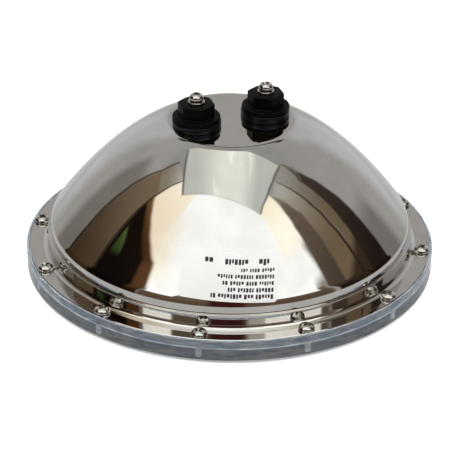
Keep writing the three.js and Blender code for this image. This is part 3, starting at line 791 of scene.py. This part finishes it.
def film_patch(left, right, foot, top, lift, thickness, corner, columns, rows):
    """Points and faces of a thin closed patch that follows the dome, its corners rounded."""
    points = []
    for height in (lift, lift + thickness):
        for row in range(rows + 1):
            share = row / rows
            up = foot + (top - foot) * (1 - math.cos(math.pi * share)) / 2
            near = min(up - foot, top - up)
            inset = corner - math.sqrt(max(0.0, corner ** 2 - (corner - near) ** 2)) if near < corner else 0.0
            for column in range(columns + 1):
                across = (left + inset) + (right - left - 2 * inset) * column / columns
                points.append(on_dome(across, up, height))
    stride = columns + 1
    upper = (rows + 1) * stride
    faces = []
    for row in range(rows):
        for column in range(columns):
            a = row * stride + column
            quad = (a, a + 1, a + stride + 1, a + stride)
            faces.append(quad[::-1])
            faces.append(tuple(upper + i for i in quad))
    border = list(range(stride)) + [row * stride + columns for row in range(1, rows + 1)]
    border += [rows * stride + column for column in range(columns - 1, -1, -1)]
    border += [row * stride for row in range(rows - 1, 0, -1)]
    for i, a in enumerate(border):
        b = border[(i + 1) % len(border)]
        faces.append((a, b, upper + b, upper + a))
    return points, faces


# Each printed line: its height up the label as a share, its left and right ends and its letters' height.
PRINT_ROWS = [(0.11, -7.5, 18.3, 1.9), (0.24, -0.6, 18.3, 1.75), (0.37, -2.6, 18.3, 1.65),
              (0.50, -5.0, 18.3, 1.65), (0.63, 4.6, 18.3, 1.5)]
PRINT_MARKS = [(0.79, -10.8, -6.8, 2.6), (0.79, -2.6, 7.4, 2.3), (0.79, 12.6, 16.0, 2.6)]
LETTER = {"width": (0.55, 0.95), "gap": 0.34, "word": (3, 8), "space": 0.7}


def print_blocks():
    """Small plain blocks, in word-like groups, where a rating label has its letters."""
    dice = random.Random(11)
    blocks = []
    for share, left, right, height in PRINT_ROWS + PRINT_MARKS:
        at_x, letters = right, dice.randint(*LETTER["word"])
        while at_x > left + LETTER["width"][0]:
            width = dice.uniform(*LETTER["width"]) * height / 1.6
            tall = height * dice.choice((1.0, 1.0, 0.74))
            blocks.append((at_x - width, at_x, LABEL["height"] * share + height / 2 - tall, tall))
            at_x -= width + LETTER["gap"]
            letters -= 1
            if letters == 0:
                at_x, letters = at_x - LETTER["space"], dice.randint(*LETTER["word"])
    return blocks


def rating_label():
    half, height = LABEL["width"] / 2, LABEL["height"]
    points, faces = film_patch(-half, half, 0, height, LABEL["lift"], LABEL["film"], LABEL["corner"], 60, 36)
    film = make_object("label_film_fine", points, faces, [MAT["film"]])
    fit_piece(film, ["rating_label"])
    ink_lift = LABEL["lift"] + LABEL["film"] + 0.005
    points, faces = [], []
    for left, right, foot, tall in print_blocks():
        bar_points, bar_faces = film_patch(left, right, foot, foot + tall, ink_lift, LABEL["ink"], 0.12, 3, 4)
        start = len(points)
        points += bar_points
        faces += [tuple(start + i for i in face) for face in bar_faces]
    ink = make_object("label_print", points, faces, [MAT["ink"]])
    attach(ink, LAMP)


rating_label()

# ---- LEDs -----------------------------------------------------------------------------------------

LEDS = {"first_ring": 6.0, "ring_pitch": 11.5, "counts": (3, 9, 15, 21, 27, 30), "start": 90, "window": 1.9}
WINDOW_RELIEF = 0.04


def led_windows():
    """The LEDs' round yellow windows, which stand a little proud of their faces."""
    face = node_box("led_board")[0].z
    places = []
    for ring, count in enumerate(LEDS["counts"]):
        radius = LEDS["first_ring"] + ring * LEDS["ring_pitch"]
        angles = [math.radians(LEDS["start"] + 360 * i / count) for i in range(count)]
        places += [(radius * math.cos(a), radius * math.sin(a)) for a in angles]
    low, high = face - WINDOW_RELIEF, face + 0.2
    windows = drill_row("led_windows", LEDS["window"], low, high, places, MAT["phosphor"])
    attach(windows, LAMP)


led_windows()

# ---- CAD nodes that keep their shape ----------------------------------------------------------------

KEPT = {
    "lens_gasket": "silicone", "led_board": "mask", "thermal_pad": "pad", "heat_plate": "plate",
    "driver_board": "circuit", "capacitor": "sleeve", "inductor": "ferrite", "rectifier": "epoxy",
    "controller_chip": "epoxy", "standoff": "brass", "terminal_insert": "brass", "lug_nut": "brass",
    "ring_lug": "tinned", "lock_nut": "black", "feed_wire_left": "wire_black", "feed_wire_right": "wire_red",
    "led_wire_black": "wire_black", "led_wire_red": "wire_red", "led_wire_green": "wire_green",
    "led_wire_blue": "wire_blue",
}
CREASE_ANGLE = math.radians(32)


def dress_nodes():
    for prefix, look in KEPT.items():
        for name in names_with(prefix):
            mesh = NODES[name].data
            mesh.materials.clear()
            mesh.materials.append(MAT[look])
            mesh.polygons.foreach_set("use_smooth", [True] * len(mesh.polygons))
            mesh.set_sharp_from_angle(angle=CREASE_ANGLE)


dress_nodes()

# ---- studio ---------------------------------------------------------------------------------------


def linear(byte):
    value = byte / 255
    return value / 12.92 if value <= 0.04045 else ((value + 0.055) / 1.055) ** 2.4


def seen_in_steel(red, green, blue):
    """Radiance of a surface that polished steel shows as this display colour."""
    return tuple(linear(byte) / metal for byte, metal in zip((red, green, blue), STEEL))


# The light tent round the lamp, as polished steel shows it. Directions are in degrees: round from the
# camera's side, and above the horizon. Each sheet has its four corners, clockwise from the lower left, the
# softness of its edges, and the colours it shows in the steel at its foot and at its top. A colour above 255
# is brighter than the steel can show in one reflection. Later sheets cover earlier ones.
TENT = {
    "roof_edge": (((-200, 54), (-200, 99), (200, 99), (200, 54)), 5.0, (140, 138, 134), (190, 190, 182)),
    "left_glow": (((-167, -9), (-167, 38), (-144, 38), (-144, -9)), 6.0, (170, 169, 168), (165, 164, 163)),
    "right_glow": (((143, -9), (143, 38), (166, 38), (166, -9)), 6.0, (173, 172, 171), (164, 163, 162)),
    "left_shade": (((-131, -9), (-129, 40), (-112, 40), (-112, -9)), 4.0, (108, 103, 96), (116, 112, 104)),
    "right_shade": (((108, -9), (108, 24), (127, 17), (130, -9)), 4.0, (108, 103, 99), (116, 112, 108)),
    "left_gusset": (((-113, 48), (-117, 58), (-90, 66), (-93, 48)), 1.2, (128, 117, 100), (176, 172, 166)),
    "left_strip": (((-117, -9), (-112, 50), (-93, 50), (-95, -9)), 0.8, (50, 36, 20), (113, 97, 78)),
    "left_cream": (((-94, 40), (-92, 70), (-48, 70), (-48, 36)), 2.0, (240, 222, 194), (247, 238, 216)),
    "low_front": (((-57, -9), (-57, 36), (66, 36), (66, -9)), 2.5, (82, 66, 52), (100, 88, 72)),
    "front": (((-57, 34.5), (-62, 80), (50, 80), (68, 34.5)), 2.0, (250, 250, 244), (247, 248, 241)),
    "front_foot": (((-36, 30), (-35, 38.5), (22, 38.5), (23, 30)), 1.0, (96, 86, 70), (116, 108, 96)),
    "cream_wash": (((-62, 38), (-62, 58), (-50, 58), (-50, 38)), 6.0, (246, 236, 214), (244, 238, 222)),
    "right_cream": (((46, 46), (43, 66), (68, 66), (68, 44)), 2.0, (254, 247, 228), (253, 242, 214)),
    "window": (((-94, -9), (-94, 47.5), (-58, 36.5), (-57, -9)), 0.7, (10, 6, 6), (22, 15, 11)),
    "green_patch": (((-91, 28), (-91, 35.5), (-86, 33.5), (-84, 31)), 1.0, (44, 60, 28), (80, 94, 52)),
    "window_head": (((-93, 44.5), (-93, 48.5), (-59, 40), (-61, 36)), 1.2, (60, 38, 18), (110, 80, 50)),
    "window_side": (((-66, -9), (-67, 38), (-58, 40), (-57, -9)), 1.6, (30, 18, 8), (84, 56, 34)),
    "right_foot": (((78, -9), (76, 29), (104, 29), (101, -9)), 1.5, (38, 28, 19), (52, 40, 30)),
    "right_strip": (((77, 26), (70, 64), (92, 65), (95, 26)), 1.8, (106, 90, 69), (165, 160, 148)),
    "right_gusset": (((95, 26), (91, 65), (119, 60), (104, 26)), 1.8, (102, 88, 69), (142, 139, 132)),
    "brown": (((70, -9), (66.8, 50), (80, 50), (80, -9)), 1.2, (28, 22, 17), (92, 79, 66)),
    "brown_tip": (((67.5, 49), (69.5, 64), (72, 63), (80, 49)), 1.0, (92, 80, 67), (136, 126, 112)),
    "wedge": (((96, -9), (105, 51), (112.5, 51), (114.5, -9)), 1.0, (24, 16, 12), (60, 50, 44)),
    "left_seam": (((-95.3, -9), (-94.9, 48), (-93.1, 48), (-93.5, -9)), 0.5, (22, 15, 8), (62, 50, 34)),
    "left_seam_top": (((-94.9, 47), (-92.7, 64), (-90.9, 64), (-93.1, 47)), 0.5, (72, 62, 48), (96, 90, 80)),
    "outer_seam": (((-118.1, -9), (-114.1, 50), (-112.3, 50), (-116.3, -9)), 0.5, (34, 28, 20), (76, 66, 52)),
    "outer_seam_top": (((-113.9, 49), (-119.6, 58), (-117.4, 59.4), (-112, 49)), 0.5,
                       (76, 68, 56), (98, 94, 88)),
    "right_seam": (((95.1, -9), (91.6, 46), (93.4, 46), (96.9, -9)), 0.5, (20, 14, 9), (58, 48, 36)),
    "right_seam_top": (((91.6, 45), (90.2, 64), (92.0, 64), (93.4, 45)), 0.5, (62, 52, 40), (100, 94, 84)),
    "wedge_seam": (((104, 49), (118, 60), (119, 58.6), (110, 49)), 0.7, (84, 77, 70), (112, 107, 102)),
    "back_seam_left": (((-200, 43), (-200, 48), (-150, 48), (-150, 43)), 1.0, (48, 46, 38), (48, 46, 38)),
    "back_seam_right": (((150, 43), (150, 48), (200, 48), (200, 43)), 1.0, (48, 46, 38), (48, 46, 38)),
    "red_centre": (((-12, -9), (-12, 37), (10, 37), (10, -9)), 3.0, (56, 20, 20), (62, 28, 26)),
    "low_patch_right": (((12, 24), (12, 33), (26, 33), (26, 24)), 2.0, (176, 174, 168), (184, 182, 176)),
    "low_patch_left": (((-55, 27), (-55, 37), (-36, 37), (-36, 27)), 1.2, (268, 268, 262), (268, 268, 262)),
    "low_patch_end": (((23, 27), (23, 37), (60, 37), (60, 27)), 1.2, (262, 262, 256), (262, 262, 256)),
}
# The roof light is a flat sheet: its corners are distances (right, ahead) for each unit of height.
ROOF = ((-0.444, -0.466), (-0.541, 0.138), (0.350, 0.380), (0.530, -0.236))
ROOF_SEAM = 0.012
ROOF_INNER = 0.95
# Where its bright middle sets in on the left and on the right, how close together its streaks lie, the noise
# that makes a streak, and the heights in degrees over which the roof light appears.
ROOF_LIGHT = {
    "left": (-0.36, -0.05), "right": (0.30, 0.08), "streaks": 7.0, "noise": (0.55, 0.70),
    "from": (40.0, 46.0),
}
ROOF_COLOURS = {
    "edge": (182, 183, 175), "middle": (224, 226, 214), "streak": (250, 252, 234), "seam": (92, 88, 80),
}
BACKDROP = (148, 144, 139)
TABLE = (168, 166, 163)
TABLE_EDGE, TABLE_SOFT = -11.0, 2.0


def inside_corners(graph, point, corners, soft):
    """1 inside a four-cornered sheet and 0 outside it. The point is (across, up, 1)."""
    covered = None
    for (x, y), (next_x, next_y) in zip(corners, corners[1:] + corners[:1]):
        length = math.hypot(next_x - x, next_y - y)
        along, rise = (next_y - y) / length, (x - next_x) / length
        side = graph.add("ShaderNodeVectorMath", operation="DOT_PRODUCT")
        graph.feed(side.inputs[0], point)
        side.inputs[1].default_value = (along, rise, -along * x - rise * y)
        edge = graph.step(side.outputs["Value"], -soft, soft)
        covered = edge if covered is None else graph.math("MULTIPLY", covered, edge)
    return covered


def tent_colour(graph, azimuth, height):
    """The sheets of the light tent over its grey backdrop."""
    point = graph.combine(azimuth, height, 1.0)
    colour = seen_in_steel(*BACKDROP)
    for corners, soft, foot, top in TENT.values():
        levels = [corner[1] for corner in corners]
        rise = graph.step(height, min(levels), max(levels))
        sheet = graph.mix(graph.math("MULTIPLY", rise, rise), seen_in_steel(*foot), seen_in_steel(*top))
        colour = graph.mix(inside_corners(graph, point, corners, soft), colour, sheet)
    return colour


def roof_colour(graph, colour, ahead, right, up, height):
    """The roof light, brightest in the middle, with yellowish streaks and thin seams at its edges."""
    lift = graph.math("MAXIMUM", up, 0.05)
    across, along = graph.math("DIVIDE", right, lift), graph.math("DIVIDE", ahead, lift)
    point = graph.combine(across, along, 1.0)
    shown = {name: seen_in_steel(*value) for name, value in ROOF_COLOURS.items()}
    sides = [graph.step(across, *ROOF_LIGHT[side]) for side in ("left", "right")]
    middle = graph.math("MULTIPLY", *sides)
    sheet = graph.mix(middle, shown["edge"], shown["middle"])
    narrowed = graph.math("MULTIPLY", across, ROOF_LIGHT["streaks"])
    stripes = graph.noise(graph.combine(narrowed, along, 0.0), 1.0, 2.0)
    streak = graph.math("MULTIPLY", graph.step(stripes, *ROOF_LIGHT["noise"]), middle)
    sheet = graph.mix(streak, sheet, shown["streak"])
    overhead = graph.step(height, *ROOF_LIGHT["from"])
    outer = graph.math("MULTIPLY", inside_corners(graph, point, ROOF, ROOF_SEAM), overhead)
    shrunk = tuple((x * ROOF_INNER, y) for x, y in ROOF)
    inner = graph.math("MULTIPLY", inside_corners(graph, point, shrunk, ROOF_SEAM), overhead)
    return graph.mix(inner, graph.mix(outer, colour, shown["seam"]), sheet)


def make_world():
    """A light tent: white front and roof, grey back, and the dark gaps beside its openings."""
    world = bpy.data.worlds.new("light_tent")
    bpy.context.scene.world = world
    world.use_nodes = True
    graph = Graph(world.node_tree)
    part = graph.add("ShaderNodeSeparateXYZ")
    graph.feed(part.inputs[0], graph.add("ShaderNodeTexCoord").outputs["Generated"])
    x, y, z = part.outputs
    cosine, sine = math.cos(LABEL_AZIMUTH), math.sin(LABEL_AZIMUTH)
    ahead = graph.math("ADD", graph.math("MULTIPLY", x, cosine), graph.math("MULTIPLY", y, sine))
    right = graph.math("ADD", graph.math("MULTIPLY", x, -sine), graph.math("MULTIPLY", y, cosine))
    azimuth = graph.math("DEGREES", graph.math("ARCTAN2", right, ahead))
    height = graph.math("DEGREES", graph.math("ARCSINE", z))
    colour = roof_colour(graph, tent_colour(graph, azimuth, height), ahead, right, z, height)
    table = graph.step(height, TABLE_EDGE + TABLE_SOFT, TABLE_EDGE - TABLE_SOFT)
    colour = graph.mix(table, colour, seen_in_steel(*TABLE))
    tent = graph.add("ShaderNodeBackground")
    graph.feed(tent.inputs["Color"], colour)
    white = graph.add("ShaderNodeBackground")
    white.inputs["Color"].default_value = (1, 1, 1, 1)
    choose = graph.add("ShaderNodeMixShader")
    graph.feed(choose.inputs[0], graph.add("ShaderNodeLightPath").outputs["Is Camera Ray"])
    graph.feed(choose.inputs[1], tent.outputs[0])
    graph.feed(choose.inputs[2], white.outputs[0])
    graph.feed(graph.add("ShaderNodeOutputWorld").inputs[0], choose.outputs[0])


FLOOR_RADIUS = 900
FLOOR_GAP = 0.2


def make_floor():
    """A plain pale table top, open from below so that the lens can be looked at."""
    material = bpy.data.materials.new("pale_table")
    material.use_nodes = True
    graph = Graph(material.node_tree)
    surface = graph.add("ShaderNodeBsdfPrincipled")
    surface.inputs["Base Color"].default_value = (0.95, 0.95, 0.95, 1)
    surface.inputs["Roughness"].default_value = 0.6
    surface.inputs["Emission Color"].default_value = (1, 1, 1, 1)
    surface.inputs["Emission Strength"].default_value = 0.35
    choose = graph.add("ShaderNodeMixShader")
    graph.feed(choose.inputs[0], graph.add("ShaderNodeNewGeometry").outputs["Backfacing"])
    graph.feed(choose.inputs[1], surface.outputs[0])
    graph.feed(choose.inputs[2], graph.add("ShaderNodeBsdfTransparent").outputs[0])
    graph.feed(graph.add("ShaderNodeOutputMaterial").inputs[0], choose.outputs[0])
    mesh = bpy.data.meshes.new("floor")
    turns = [2 * math.pi * i / 96 for i in range(96)]
    edge = [Vector((FLOOR_RADIUS * math.cos(t), FLOOR_RADIUS * math.sin(t), -FLOOR_GAP)) * MM for t in turns]
    mesh.from_pydata(edge, [], [tuple(range(96))])
    mesh.materials.append(material)
    floor = bpy.data.objects.new("floor", mesh)
    bpy.context.scene.collection.objects.link(floor)
    for ray in ("diffuse", "glossy", "transmission", "shadow"):
        setattr(floor, f"visible_{ray}", False)


OVERHEAD = {"size_m": 1.6, "height_m": 1.3, "watts": 14}


def make_lights():
    """One large soft light overhead, kept out of the steel's reflections."""
    data = bpy.data.lights.new("overhead", "AREA")
    data.shape = "DISK"
    data.size = OVERHEAD["size_m"]
    data.energy = OVERHEAD["watts"]
    light = bpy.data.objects.new("overhead", data)
    light.location = (0, 0, OVERHEAD["height_m"])
    light.visible_glossy = False
    bpy.context.scene.collection.objects.link(light)


make_world()
make_floor()
make_lights()
bpy.context.scene.view_settings.view_transform = "Standard"
